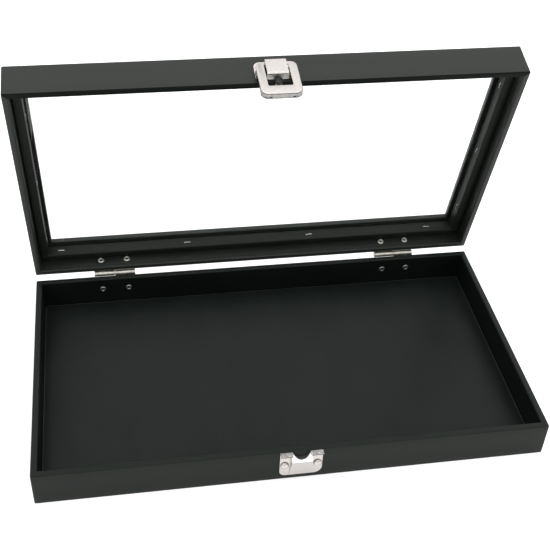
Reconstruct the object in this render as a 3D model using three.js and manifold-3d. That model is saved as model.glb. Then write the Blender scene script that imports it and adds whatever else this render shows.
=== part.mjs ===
// A glass-lidded display case, standing open: a shallow covered tray, a lid that holds a pane of
// glass, two small butt hinges at the back and a sprung ring latch at the front.
//
// Millimetres. +X runs to the right, +Y to the back and +Z up. The origin is the middle of the
// underside. The lid is modelled as it lies on the closed tray, then turned up about its hinges.

import * as THREE from 'three';
import { mergeVertices } from 'three/addons/utils/BufferGeometryUtils.js';
import Module from 'manifold-3d';

const wasm = await Module();
wasm.setup();

// ---- Driving dimensions ----

const WIDTH = 374.65;
const DEPTH = 209.55;
const BASE_HEIGHT = 29.5;
const LID_HEIGHT = 28;
const SEAM = 0.4;
const WALL = 5;
const GAP = 0.2;

const COVER = 0.8;
const FLOOR_BOARD = 3;
const LINING = 1.2;
const LINING_MARGIN = 0.6;

const LIP_WIDTH = 15;
const LIP_THICKNESS = 4.5;
const GLASS_THICKNESS = 2.4;
const STRIP_THICKNESS = 7;
const STRIP_DEPTH = 10.2;

const OPEN_ANGLE = THREE.MathUtils.degToRad(75);
const AXIS_BEHIND = 3;
const HINGE_X = 121.8;
const HINGE_LENGTH = 34;
const LEAF_THICKNESS = 1;
const KNUCKLE_RADIUS = 2.5;
const PIN_RADIUS = 0.9;
const HINGE_RIVET_OFFSET = 10.8;
const BASE_RIVET_DROP = 10.2;
const LID_RIVET_RISE = 7.6;

const LATCH_X = 1.5;
const LATCH_PLATE_WIDTH = 32;
const LATCH_PLATE_THICKNESS = 0.8;
const TONGUE_WIDTH = 15.2;
const RING_WIDTH = 29.6;
const RING_WINDOW = 17.4;
const RING_SHEET = 0.9;
const RING_LENGTH = 34.4;
const RING_SKIRT = 4.7;
const RING_SWING = THREE.MathUtils.degToRad(6.7);
const RING_AXIS_RISE = 15.6;
const RING_AXIS_OUT = 3.1;
const LATCH_RIVET_OFFSET = 12;
const LATCH_RIVET_RISE = 7.6;

const KEEPER_WIDTH = 31;
const KEEPER_BOTTOM = 5.3;
const KEEPER_TOP = 28.8;
const KEEPER_SHEET = 0.8;
const KEEPER_RIVET_Z = 16.2;

// ---- Sizes that follow from them ----

const FRONT = -DEPTH / 2;
const BACK = DEPTH / 2;
const LID_RIM = BASE_HEIGHT + SEAM;
const LID_TOP = LID_RIM + LID_HEIGHT;
const LIP_BOTTOM = LID_TOP - LIP_THICKNESS;
const HINGE_Y = BACK + AXIS_BEHIND;
const HINGE_Z = BASE_HEIGHT + SEAM / 2;
const GLASS_TOP = LIP_BOTTOM - GAP;
const STRIP_TOP = GLASS_TOP - GLASS_THICKNESS - GAP;
const STRIP_BOTTOM = STRIP_TOP - STRIP_DEPTH;

// ---- Materials ----

function finish(color, roughness, metalness) {
  return new THREE.MeshStandardMaterial({ color, roughness, metalness });
}

const leatherette = finish(0x2b2c2a, 0.45, 0);
const floorPaper = finish(0x1d1e1d, 0.3, 0);
const rawBoard = finish(0x5b4632, 0.8, 0);
const strapping = finish(0x232423, 0.55, 0);
const nickel = finish(0xd9d4cf, 0.18, 1);
const hingeSteel = finish(0x8c8a80, 0.35, 1);
const springSteel = finish(0x6e7072, 0.4, 1);
const stapleWire = finish(0xb4b6b8, 0.35, 1);
const clearGlass = new THREE.MeshStandardMaterial({
  color: 0xeaf4f2,
  roughness: 0.05,
  metalness: 0,
  transparent: true,
  opacity: 0.2,
});

// ---- Solids ----

function toManifold(geometry) {
  const bare = geometry.clone();
  bare.deleteAttribute('normal');
  bare.deleteAttribute('uv');
  const merged = mergeVertices(bare, 1e-4);
  return new wasm.Manifold(new wasm.Mesh({
    numProp: 3,
    vertProperties: new Float32Array(merged.attributes.position.array),
    triVerts: new Uint32Array(merged.index.array),
  }));
}

function toGeometry(manifold) {
  const mesh = manifold.getMesh();
  const geometry = new THREE.BufferGeometry();
  geometry.setAttribute('position', new THREE.BufferAttribute(mesh.vertProperties, 3));
  geometry.setIndex(new THREE.BufferAttribute(mesh.triVerts, 1));
  geometry.computeVertexNormals();
  return geometry;
}

function join(...geometries) {
  const solids = geometries.map(toManifold);
  return toGeometry(solids.reduce((sum, next) => sum.add(next)));
}

function cut(geometry, ...tools) {
  const solids = tools.map(toManifold);
  return toGeometry(solids.reduce((rest, tool) => rest.subtract(tool), toManifold(geometry)));
}

function block(x0, x1, y0, y1, z0, z1) {
  const box = new THREE.BoxGeometry(x1 - x0, y1 - y0, z1 - z0);
  return box.translate((x0 + x1) / 2, (y0 + y1) / 2, (z0 + z1) / 2);
}

function outline(points) {
  return new THREE.Shape(points.map(([a, b]) => new THREE.Vector2(a, b)));
}

function extrude(shape, length, curveSegments = 6) {
  return new THREE.ExtrudeGeometry(shape, { depth: length, bevelEnabled: false, curveSegments });
}

// An outline in X and Y, raised from z0 to z1.
function raise(shape, z0, z1) {
  return extrude(shape, z1 - z0).translate(0, 0, z0);
}

// An outline in Y and Z, run along X from x0 to x1.
function runAlongX(shape, x0, x1) {
  const turn = new THREE.Matrix4().makeBasis(
    new THREE.Vector3(0, 1, 0),
    new THREE.Vector3(0, 0, 1),
    new THREE.Vector3(1, 0, 0),
  );
  return extrude(shape, x1 - x0).applyMatrix4(turn).translate(x0, 0, 0);
}

// An outline in X and Z, standing out towards the front between two distances from the plane Y = 0.
function standOut(shape, near, far) {
  const turn = new THREE.Matrix4().makeBasis(
    new THREE.Vector3(1, 0, 0),
    new THREE.Vector3(0, 0, 1),
    new THREE.Vector3(0, -1, 0),
  );
  return extrude(shape, far - near).applyMatrix4(turn).translate(0, -near, 0);
}

// A rectangle in the plane of its first two axes, with a radius for each corner, anticlockwise
// from the low corner.
function roundedRectangle(a0, a1, b0, b1, [r0, r1, r2, r3]) {
  const shape = new THREE.Shape();
  shape.moveTo(a0 + r0, b0);
  shape.lineTo(a1 - r1, b0);
  if (r1 > 0) shape.absarc(a1 - r1, b0 + r1, r1, -Math.PI / 2, 0);
  shape.lineTo(a1, b1 - r2);
  if (r2 > 0) shape.absarc(a1 - r2, b1 - r2, r2, 0, Math.PI / 2);
  shape.lineTo(a0 + r3, b1);
  if (r3 > 0) shape.absarc(a0 + r3, b1 - r3, r3, Math.PI / 2, Math.PI);
  shape.lineTo(a0, b0 + r0);
  if (r0 > 0) shape.absarc(a0 + r0, b0 + r0, r0, Math.PI, Math.PI * 1.5);
  return shape;
}

// A drill along Y.
function drill(x, z, radius, y0, y1) {
  const bit = new THREE.CylinderGeometry(radius, radius, y1 - y0, 12);
  return bit.translate(x, (y0 + y1) / 2, z);
}

// ---- Mitred frames ----

const SIDES = ['front', 'right', 'back', 'left'];

// The corners of the case's outline, drawn in by `inset`, anticlockwise from the front left.
function corners(inset) {
  const x = WIDTH / 2 - inset;
  const y = DEPTH / 2 - inset;
  return [[-x, -y], [x, -y], [x, y], [-x, y]].map(([a, b]) => new THREE.Vector2(a, b));
}

// One side of a frame with mitred corners, as wide as `width`, between two heights.
function mitredSide(index, width, z0, z1) {
  const next = (index + 1) % SIDES.length;
  const outer = corners(0);
  const inner = corners(width);
  const along = outer[next].clone().sub(outer[index]).normalize().multiplyScalar(GAP / 2);
  return raise(new THREE.Shape([
    outer[index].add(along),
    outer[next].sub(along),
    inner[next].sub(along),
    inner[index].add(along),
  ]), z0, z1);
}

// ---- The assembly ----

const displayCase = new THREE.Group();
displayCase.name = 'display_case';

const lidHinge = new THREE.Group();
lidHinge.position.set(0, HINGE_Y, HINGE_Z);
lidHinge.rotation.x = -OPEN_ANGLE;
displayCase.add(lidHinge);

const lid = new THREE.Group();
lid.position.set(0, -HINGE_Y, -HINGE_Z);
lidHinge.add(lid);

const ringHinge = new THREE.Group();
ringHinge.position.set(LATCH_X, FRONT - RING_AXIS_OUT, LID_RIM + RING_AXIS_RISE);
ringHinge.rotation.x = -RING_SWING;
lid.add(ringHinge);

function place(group, name, geometry, material) {
  const mesh = new THREE.Mesh(geometry, material);
  mesh.name = name;
  group.add(mesh);
}

// ---- Rivets ----

const RIVET_SHANK = 1.5;
const RIVET_TAIL = 2.7;
const RIVET_ROLL = 0.7;
const HOLE_RADIUS = RIVET_SHANK + GAP;
const HINGE_RIVET = { head: 2.5, dome: 1, metal: LEAF_THICKNESS };
const LATCH_RIVET = { head: 2.6, dome: 1.2, metal: LATCH_PLATE_THICKNESS };
const KEEPER_RIVET = { head: 3.1, dome: 1.9, metal: KEEPER_SHEET };

// A dome's outline from its rim to its peak, as radii and heights.
function domeProfile(radius, height, steps) {
  const points = [];
  for (let i = 0; i < steps; i += 1) {
    const angle = (i / steps) * (Math.PI / 2);
    points.push([radius * Math.cos(angle), height * Math.sin(angle)]);
  }
  points.push([0, height]);
  return points;
}

function lathe(profile, segments) {
  return new THREE.LatheGeometry(profile.map(([r, y]) => new THREE.Vector2(r, y)), segments);
}

// A tubular rivet on the axis +Y: a domed head that sits at Y = 0 and looks towards +Y, a shank
// through `grip`, and a tail rolled over into a ring round the open end of the tube.
function rivet({ head, dome, metal }) {
  const grip = WALL + metal + GAP * 3;
  const bore = RIVET_SHANK * 0.7;
  const tail = [
    [0, -grip * 0.6],
    [bore, -grip * 0.6],
    [bore, -grip - RIVET_ROLL * 0.7],
    [bore + 0.3, -grip - RIVET_ROLL],
    [RIVET_TAIL - 0.3, -grip - RIVET_ROLL],
    [RIVET_TAIL, -grip - RIVET_ROLL * 0.5],
    [RIVET_TAIL, -grip],
    [RIVET_SHANK, -grip],
    [RIVET_SHANK, 0],
  ];
  return lathe([...tail, ...domeProfile(head, dome, 3)], 14);
}

const hingeRivetX = [-HINGE_X, HINGE_X].flatMap((x) => [x - HINGE_RIVET_OFFSET, x + HINGE_RIVET_OFFSET]);
const latchRivetX = [LATCH_X - LATCH_RIVET_OFFSET, LATCH_X + LATCH_RIVET_OFFSET];

// Rivets in a row through the front wall (side -1) or the back wall (side 1), heads outside.
function rivetRow(group, names, xs, z, style, side) {
  const seat = side * (DEPTH / 2 + style.metal + GAP * 2);
  xs.forEach((x, i) => {
    const geometry = rivet(style).rotateX(side > 0 ? 0 : Math.PI).translate(x, seat, z);
    place(group, names[i], geometry, nickel);
  });
}

function drillRow(geometry, xs, z, y0, y1) {
  return cut(geometry, ...xs.map((x) => drill(x, z, HOLE_RADIUS, y0, y1)));
}

// ---- Tray ----

function makeTray() {
  const x = WIDTH / 2;
  const y = DEPTH / 2;
  const inset = 0.5;
  place(displayCase, 'base_underside_cover', block(inset - x, x - inset, inset - y, y - inset, 0, COVER),
    leatherette);

  const wallBottom = COVER + GAP;
  SIDES.forEach((side, i) => {
    let wall = mitredSide(i, WALL, wallBottom, BASE_HEIGHT);
    if (side === 'front') {
      wall = drillRow(wall, latchRivetX, KEEPER_RIVET_Z, FRONT - 1, FRONT + WALL + 1);
    }
    if (side === 'back') {
      wall = drillRow(wall, hingeRivetX, BASE_HEIGHT - BASE_RIVET_DROP, BACK - WALL - 1, BACK + 1);
    }
    place(displayCase, `base_${side}_wall`, wall, leatherette);
  });

  const boardX = x - WALL - GAP;
  const boardY = y - WALL - GAP;
  const boardTop = wallBottom + FLOOR_BOARD;
  place(displayCase, 'base_floor_board', block(-boardX, boardX, -boardY, boardY, wallBottom, boardTop),
    rawBoard);

  const liningX = x - WALL - LINING_MARGIN;
  const liningY = y - WALL - LINING_MARGIN;
  const lining = block(-liningX, liningX, -liningY, liningY, boardTop + GAP, boardTop + GAP + LINING);
  place(displayCase, 'base_floor_lining', lining, floorPaper);
}

// ---- Lid ----

function makeLid() {
  SIDES.forEach((side, i) => {
    let wall = mitredSide(i, WALL, LID_RIM, LIP_BOTTOM - GAP);
    if (side === 'front') {
      wall = drillRow(wall, latchRivetX, LID_RIM + LATCH_RIVET_RISE, FRONT - 1, FRONT + WALL + 1);
    }
    if (side === 'back') {
      wall = drillRow(wall, hingeRivetX, LID_RIM + LID_RIVET_RISE, BACK - WALL - 1, BACK + 1);
    }
    place(lid, `lid_${side}_wall`, wall, leatherette);
    place(lid, `lid_top_rail_${side}`, mitredSide(i, LIP_WIDTH, LIP_BOTTOM, LID_TOP), leatherette);
  });

  const paneX = WIDTH / 2 - WALL - 0.5;
  const paneY = DEPTH / 2 - WALL - 0.5;
  place(lid, 'glass_pane', block(-paneX, paneX, -paneY, paneY, GLASS_TOP - GLASS_THICKNESS, GLASS_TOP),
    clearGlass);
}

// ---- Strips that hold the glass, and their staples ----

const STAPLE_CROWN = 5.8;
const STAPLE_WIRE = 0.6;
const STAPLE_LEG = 6;
const STAPLE_Z = STRIP_BOTTOM + 5;
const STAPLES_LONG = { count: 4, pitch: 106, shift: 6 };
const STAPLES_SHORT = { count: 3, pitch: 72, shift: 5 };

// Where the strip's inner face lies, as a distance from the middle of the case.
const STRIP_FACE_Y = DEPTH / 2 - WALL - GAP - STRIP_THICKNESS;
const STRIP_FACE_X = WIDTH / 2 - WALL - GAP - STRIP_THICKNESS;

// A staple on a strip that runs along X, its crown on the face at Y = 0 and its legs towards +Y.
function staple() {
  const half = STAPLE_CROWN / 2;
  const crown = block(-half, half, -STAPLE_WIRE, 0, -STAPLE_WIRE / 2, STAPLE_WIRE / 2);
  const legs = [-half, half - STAPLE_WIRE].map((x) => (
    block(x, x + STAPLE_WIRE, -STAPLE_WIRE / 2, STAPLE_LEG, -STAPLE_WIRE / 2, STAPLE_WIRE / 2)
  ));
  return join(crown, ...legs).translate(0, -GAP, 0);
}

// The slots that a staple's two legs fill, with clearance.
function stapleSlots() {
  const reach = STAPLE_CROWN / 2 - STAPLE_WIRE / 2;
  const half = STAPLE_WIRE / 2 + GAP;
  return [-reach, reach].map((x) => block(x - half, x + half, -1, STAPLE_LEG + GAP, -half, half));
}

// The staples' places along a strip, as distances from its middle.
function spread({ count, pitch, shift }, hand) {
  return Array.from({ length: count }, (_, i) => (i - (count - 1) / 2) * pitch + hand * shift);
}

function makeStrips() {
  const longEnd = WIDTH / 2 - WALL - GAP;
  const shortEnd = STRIP_FACE_Y - GAP;
  const sides = [
    ['front', Math.PI, STRIP_FACE_Y, longEnd, spread(STAPLES_LONG, 1)],
    ['back', 0, STRIP_FACE_Y, longEnd, spread(STAPLES_LONG, -1)],
    ['right', -Math.PI / 2, STRIP_FACE_X, shortEnd, spread(STAPLES_SHORT, 1)],
    ['left', Math.PI / 2, STRIP_FACE_X, shortEnd, spread(STAPLES_SHORT, 1)],
  ];
  sides.forEach(([side, turn, face, end, places]) => {
    const slots = places.flatMap((along) => (
      stapleSlots().map((slot) => slot.translate(along, 0, STAPLE_Z))
    ));
    const strip = cut(block(-end, end, 0, STRIP_THICKNESS, STRIP_BOTTOM, STRIP_TOP), ...slots);
    place(lid, `glass_strip_${side}`, strip.translate(0, face, 0).rotateZ(turn), strapping);
    places.forEach((along, i) => {
      const wire = staple().translate(along, face, STAPLE_Z).rotateZ(turn);
      place(lid, `staple_${side}_${i + 1}`, wire, stapleWire);
    });
  });
}

// ---- Hinges ----

// One leaf's section, seen along X, with the hinge's axis at Y = 0, Z = 0: a flat leaf that hangs
// on the wall, and where it has a knuckle a neck and an eye round the pin.
function leafSection(reach, withKnuckle) {
  const near = -AXIS_BEHIND + GAP;
  const far = near + LEAF_THICKNESS;
  const cutBack = -KNUCKLE_RADIUS - 0.9;
  if (!withKnuckle) {
    return outline([[near, -reach], [far, -reach], [far, cutBack], [near, cutBack]]);
  }
  const shape = new THREE.Shape();
  shape.moveTo(near, -reach);
  shape.lineTo(far, -reach);
  shape.lineTo(far, cutBack);
  shape.lineTo(0, -KNUCKLE_RADIUS);
  shape.absarc(0, 0, KNUCKLE_RADIUS, -Math.PI / 2, Math.PI);
  shape.lineTo(near, -KNUCKLE_RADIUS * 0.6);
  const eye = new THREE.Path();
  eye.absarc(0, 0, PIN_RADIUS + GAP, 0, Math.PI * 2);
  shape.holes.push(eye);
  return shape;
}

// A whole leaf that hangs down from the axis: its knuckle takes the half towards +X.
function leaf(reach) {
  const half = HINGE_LENGTH / 2;
  const sideClearance = 0.15;
  return join(
    runAlongX(leafSection(reach, true), sideClearance, half),
    runAlongX(leafSection(reach, false), -half, sideClearance + 0.1),
  );
}

function makeHinges() {
  const baseReach = BASE_RIVET_DROP + SEAM / 2 + 4.6;
  const lidReach = LID_RIVET_RISE + SEAM / 2 + 4.4;
  const boreEnds = [BACK - 1, BACK + LEAF_THICKNESS + 1];
  [['left', -HINGE_X], ['right', HINGE_X]].forEach(([hand, x]) => {
    const rivetXs = [x - HINGE_RIVET_OFFSET, x + HINGE_RIVET_OFFSET];

    const lower = leaf(baseReach).translate(x, HINGE_Y, HINGE_Z);
    const lowerDrilled = drillRow(lower, rivetXs, BASE_HEIGHT - BASE_RIVET_DROP, ...boreEnds);
    place(displayCase, `hinge_${hand}_base_leaf`, lowerDrilled, hingeSteel);

    const upper = leaf(lidReach).rotateY(Math.PI).translate(x, HINGE_Y, HINGE_Z);
    const upperDrilled = drillRow(upper, rivetXs, LID_RIM + LID_RIVET_RISE, ...boreEnds);
    place(lid, `hinge_${hand}_lid_leaf`, upperDrilled, hingeSteel);

    const pin = new THREE.CylinderGeometry(PIN_RADIUS, PIN_RADIUS, HINGE_LENGTH + 0.4, 12);
    pin.rotateZ(Math.PI / 2).translate(x, HINGE_Y, HINGE_Z);
    place(displayCase, `hinge_${hand}_pin`, pin, hingeSteel);

    const baseNames = ['outer', 'inner'].map((end) => `hinge_${hand}_base_rivet_${end}`);
    const lidNames = ['outer', 'inner'].map((end) => `hinge_${hand}_lid_rivet_${end}`);
    const xs = hand === 'left' ? rivetXs : [...rivetXs].reverse();
    rivetRow(displayCase, baseNames, xs, BASE_HEIGHT - BASE_RIVET_DROP, HINGE_RIVET, 1);
    rivetRow(lid, lidNames, xs, LID_RIM + LID_RIVET_RISE, HINGE_RIVET, 1);
  });
}

// ---- Keeper: the lower half of the latch ----

const BOSS_WIDTH = 14.8;
const BOSS_APEX_Z = 22.5;
const BOSS_APEX_OUT = 5.2;
const BOSS_ROOT_Z = 26.6;
const NOTCH_RADIUS = 7;
const NOTCH_FLOOR_Z = 24.0;
const LUG_OUT = 4;
const LUG_INSIDE = 6.8;

function makeKeeper() {
  const half = KEEPER_WIDTH / 2;
  const sheetX = [LATCH_X - half, LATCH_X + half];
  const plate = standOut(
    roundedRectangle(...sheetX, KEEPER_BOTTOM, KEEPER_TOP, [5, 5, 0, 0]),
    GAP, GAP + KEEPER_SHEET,
  );
  const lugs = [-1, 1].map((hand) => {
    const ends = [hand * LUG_INSIDE, hand * half].sort((a, b) => a - b);
    return block(LATCH_X + ends[0], LATCH_X + ends[1], -LUG_OUT, -GAP, KEEPER_TOP - 1, KEEPER_TOP);
  });
  // The boss rises from the sheet's foot to an apex, then falls back as a ramp for the ring.
  const root = GAP + KEEPER_SHEET / 2;
  const section = outline([
    [-root, KEEPER_BOTTOM],
    [-root, BOSS_ROOT_Z],
    [-root - KEEPER_SHEET, BOSS_ROOT_Z],
    [-BOSS_APEX_OUT, BOSS_APEX_Z],
    [-root - KEEPER_SHEET / 2, KEEPER_BOTTOM],
  ]);
  const boss = runAlongX(section, LATCH_X - BOSS_WIDTH / 2, LATCH_X + BOSS_WIDTH / 2);
  const thumb = new THREE.CylinderGeometry(NOTCH_RADIUS, NOTCH_RADIUS, 10, 24);
  thumb.translate(LATCH_X, -5, NOTCH_FLOOR_Z + NOTCH_RADIUS);
  const body = cut(join(plate, ...lugs, boss), thumb).translate(0, FRONT, 0);
  const drilled = drillRow(body, latchRivetX, KEEPER_RIVET_Z, FRONT - 3, FRONT + 1);
  place(displayCase, 'latch_keeper', drilled, nickel);
  rivetRow(displayCase, ['keeper_rivet_left', 'keeper_rivet_right'], latchRivetX, KEEPER_RIVET_Z,
    KEEPER_RIVET, -1);
}

// ---- Latch plate on the lid, its spring and its stop ----

const PLATE_BOTTOM = 3.4;
const PLATE_TOP = 20;
const TAB_HALF = 2.6;
const TAB_BOTTOM = -3.1;
const STOP_RISE = -1.9;
const STOP_HEAD = 3.2;
const STOP_DOME = 1.7;
const STOP_SHANK = 1.2;

// The tongue is a strip folded into a flat box that the ring's bar runs through. Its section is in
// Y and Z from the lid's front face and rim.
function tongueSection() {
  const skin = 0.8;
  const floor = -GAP - skin;
  const shape = outline([
    [-GAP, 1.6],
    [-GAP, PLATE_TOP],
    [-3.2, PLATE_TOP],
    [-4.9, PLATE_TOP - 1.6],
    [-6.2, 3.6],
    [-5.6, 2.6],
    [floor, 1.6],
  ]);
  const hollow = new THREE.Path([
    [floor, 2.8],
    [-5.2, 3.8],
    [-4.4, PLATE_TOP - 2.2],
    [-3, PLATE_TOP - skin],
    [floor, PLATE_TOP - skin],
  ].map(([y, z]) => new THREE.Vector2(y, z)));
  shape.holes.push(hollow);
  return shape;
}

function makeLatchPlate() {
  const half = LATCH_PLATE_WIDTH / 2;
  const plate = standOut(
    roundedRectangle(LATCH_X - half, LATCH_X + half, PLATE_BOTTOM, PLATE_TOP, [1, 1, 3.5, 3.5]),
    GAP, GAP + LATCH_PLATE_THICKNESS,
  );
  const tongue = runAlongX(tongueSection(), LATCH_X - TONGUE_WIDTH / 2, LATCH_X + TONGUE_WIDTH / 2);
  const tab = standOut(
    roundedRectangle(LATCH_X - TAB_HALF, LATCH_X + TAB_HALF, TAB_BOTTOM, 2.5, [2, 2, 0, 0]),
    GAP, GAP + LATCH_PLATE_THICKNESS,
  );
  const body = join(plate, tongue, tab).translate(0, FRONT, LID_RIM);
  const stopHole = drill(LATCH_X, LID_RIM + STOP_RISE, STOP_SHANK + GAP, FRONT - 2, FRONT + 1);
  const drilled = drillRow(body, latchRivetX, LID_RIM + LATCH_RIVET_RISE, FRONT - 3, FRONT + 1);
  place(lid, 'latch_plate', cut(drilled, stopHole), nickel);
  rivetRow(lid, ['latch_plate_rivet_left', 'latch_plate_rivet_right'], latchRivetX,
    LID_RIM + LATCH_RIVET_RISE, LATCH_RIVET, -1);
}

// A domed stop riveted into the tab. It drops into the keeper's notch as the lid comes down.
function makeStop() {
  const foot = -GAP - LATCH_PLATE_THICKNESS;
  const stem = [[0, foot], [STOP_SHANK, foot], [STOP_SHANK, 0]];
  const geometry = lathe([...stem, ...domeProfile(STOP_HEAD, STOP_DOME, 4)], 20);
  geometry.rotateX(Math.PI);
  geometry.translate(LATCH_X, FRONT - LATCH_PLATE_THICKNESS - GAP * 2, LID_RIM + STOP_RISE);
  place(lid, 'latch_stop', geometry, nickel);
}

// A strip of even thickness along a smooth line through points in Y and Z.
function ribbonSection(points, thickness, steps) {
  const line = new THREE.SplineCurve(points.map(([y, z]) => new THREE.Vector2(y, z)));
  const near = [];
  const far = [];
  for (let i = 0; i <= steps; i += 1) {
    const point = line.getPoint(i / steps);
    const tangent = line.getTangent(i / steps);
    const normal = new THREE.Vector2(-tangent.y, tangent.x).multiplyScalar(thickness / 2);
    near.push(point.clone().add(normal));
    far.unshift(point.clone().sub(normal));
  }
  return new THREE.Shape([...near, ...far]);
}

// The leaf spring lies folded inside the tongue and presses on the ring's bar.
function makeSpring() {
  const section = ribbonSection([
    [-1.5, 11], [-1.5, 7], [-2.4, 5.2], [-3.5, 6.6], [-3.1, 9.5], [-1.75, 14], [-1.65, 16],
  ], 0.4, 24);
  const geometry = runAlongX(section, LATCH_X - 5.5, LATCH_X + 5.5).translate(0, FRONT, LID_RIM);
  place(lid, 'latch_spring', geometry, springSteel);
}

// ---- Ring: the part of the latch that snaps over the keeper ----

const RING_BEYOND_AXIS = 1.6;
const RING_CORNER = 4.5;
const RING_TOP_CORNER = 4;
const RING_WINDOW_DROP = 25.5;
const RING_FACE_NEAR = 0.1;
const RING_BAR_RADIUS = 0.9;
const SKIRT_STARTS = 16;
const SKIRT_FULL = 30;

// In the ring's own frame the axis is the origin, the ring hangs towards -Z and faces -Y.
function makeRing() {
  const half = RING_WIDTH / 2;
  const faceFar = RING_FACE_NEAR + RING_SHEET;
  const skirtFoot = faceFar - RING_SKIRT;
  const radii = [RING_CORNER, RING_CORNER, RING_TOP_CORNER, RING_TOP_CORNER];
  const edge = roundedRectangle(-half, half, -RING_LENGTH, RING_BEYOND_AXIS, radii);

  const window = roundedRectangle(
    -RING_WINDOW / 2, RING_WINDOW / 2, -RING_WINDOW_DROP, RING_BEYOND_AXIS + 1, [1.2, 1.2, 0, 0],
  );
  const face = standOut(edge, RING_FACE_NEAR, faceFar);

  const inner = half - RING_SHEET;
  const innerRadii = radii.map((r) => r - RING_SHEET);
  edge.holes.push(roundedRectangle(
    -inner, inner, -RING_LENGTH + RING_SHEET, RING_BEYOND_AXIS - RING_SHEET, innerRadii,
  ));
  const rimWall = standOut(edge, skirtFoot, faceFar - RING_SHEET / 2);
  const clearAway = runAlongX(outline([
    [-RING_FACE_NEAR, -SKIRT_STARTS],
    [-skirtFoot + 0.1, -SKIRT_FULL],
    [10, -SKIRT_FULL],
    [10, 10],
    [-RING_FACE_NEAR, 10],
  ]), -half - 1, half + 1);

  const bar = new THREE.CylinderGeometry(RING_BAR_RADIUS, RING_BAR_RADIUS, RING_WIDTH - 4, 12);
  bar.rotateZ(Math.PI / 2);
  const shell = cut(join(face, cut(rimWall, clearAway)), standOut(window, skirtFoot - 1, faceFar + 1));
  place(ringHinge, 'latch_ring', join(shell, bar), nickel);
}

makeTray();
makeLid();
makeStrips();
makeHinges();
makeKeeper();
makeLatchPlate();
makeStop();
makeSpring();
makeRing();

export default displayCase;
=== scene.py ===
"""A glass-lidded display case in black leatherette, standing open, with a nickel ring latch."""
import math
import random

import bmesh
import bpy
from mathutils import Matrix, Vector, noise


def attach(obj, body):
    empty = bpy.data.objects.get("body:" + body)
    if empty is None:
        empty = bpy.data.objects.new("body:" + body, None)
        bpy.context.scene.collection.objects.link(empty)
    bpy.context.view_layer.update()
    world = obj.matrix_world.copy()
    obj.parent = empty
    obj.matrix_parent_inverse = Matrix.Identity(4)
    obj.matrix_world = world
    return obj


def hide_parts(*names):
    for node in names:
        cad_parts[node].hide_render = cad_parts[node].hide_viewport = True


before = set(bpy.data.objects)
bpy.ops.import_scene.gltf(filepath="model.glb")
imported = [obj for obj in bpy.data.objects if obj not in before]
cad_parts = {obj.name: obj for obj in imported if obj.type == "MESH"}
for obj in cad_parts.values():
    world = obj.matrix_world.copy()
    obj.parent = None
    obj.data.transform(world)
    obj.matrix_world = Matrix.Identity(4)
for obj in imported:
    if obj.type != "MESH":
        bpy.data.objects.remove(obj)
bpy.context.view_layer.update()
random.seed(20)

# ---- Sizes, in millimetres, as in the frame ----

MM = 0.001
HALF_X, HALF_Y = 187.325, 104.775
FRONT, BACK = -HALF_Y, HALF_Y
BASE_TOP = 29.5
LID_RIM = 29.9
LID_TOP = 57.9
WALL = 5.0
LIP_WIDTH = 15.0
LIP_BOTTOM = 53.4
FLOOR_BOTTOM, FLOOR_TOP = 4.2, 5.4
FLOOR_GAP = 0.25
STRIP_BOTTOM, STRIP_TOP = 40.4, 50.6
STRIP_THICKNESS = 7.0
STRIP_GAP = 0.2
STRIP_FACE_Y = HALF_Y - WALL - STRIP_GAP - STRIP_THICKNESS
STRIP_FACE_X = HALF_X - WALL - STRIP_GAP - STRIP_THICKNESS
LONG_STRIP_HALF = HALF_X - WALL - STRIP_GAP
SHORT_STRIP_HALF = STRIP_FACE_Y - STRIP_GAP
STAPLE_Z = STRIP_BOTTOM + 5.0
LONG_STAPLES = [-165, -59, 47, 153]
SHORT_STAPLES = [-67, 5, 77]
HINGE_X, HINGE_Y, HINGE_Z = 121.8, HALF_Y + 3.0, 29.7
HINGE_SHEET = 1.0
HINGE_RIVET_OFFSET = 10.8
HINGE_RIVET_SEAT = BACK + 1.4
LATCH_X = 1.5
LATCH_HALF = 15.5
LATCH_SHEET = 0.8
LATCH_SHEET_BACK = -0.2
LATCH_SHEET_FRONT = LATCH_SHEET_BACK - LATCH_SHEET
LATCH_RIVET_OFFSET = 12
LATCH_RIVET_SEAT = FRONT - 1.2
KEEPER_RIVET_Z = 16.2
BASE_RIVET_Z = BASE_TOP - 10.2
LID_RIVET_Z = LID_RIM + 7.6
RING_AXIS_OUT, RING_AXIS_RISE = 3.1, 15.6
LID_ANGLE, RING_ANGLE = -75, -6.7

WALL_SIDES = ("front", "right", "back", "left")
HANDS = {"left": -1, "right": 1}


def turn_x(degrees):
    return Matrix.Rotation(math.radians(degrees), 4, "X")


def turn_z(degrees):
    return Matrix.Rotation(math.radians(degrees), 4, "Z")


def shift(x, y, z):
    return Matrix.Translation((x, y, z))


# From each group's own axes, as it is with the case shut, to where it lies at rest. The latch's
# groups have their origin on the case's front, and the ring's is on its own bar.
CASE = Matrix.Identity(4)
LID = shift(0, HINGE_Y, HINGE_Z) @ turn_x(LID_ANGLE) @ shift(0, -HINGE_Y, -HINGE_Z)
LATCH = shift(LATCH_X, FRONT, 0)
PLATE = LID @ LATCH @ shift(0, 0, LID_RIM)
RING = LID @ shift(LATCH_X, FRONT - RING_AXIS_OUT, LID_RIM + RING_AXIS_RISE) @ turn_x(RING_ANGLE)


# ---- Materials ----

MIX_A, MIX_B, MIX_RESULT = 6, 7, 2  # the Mix node's sockets for colours


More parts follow.
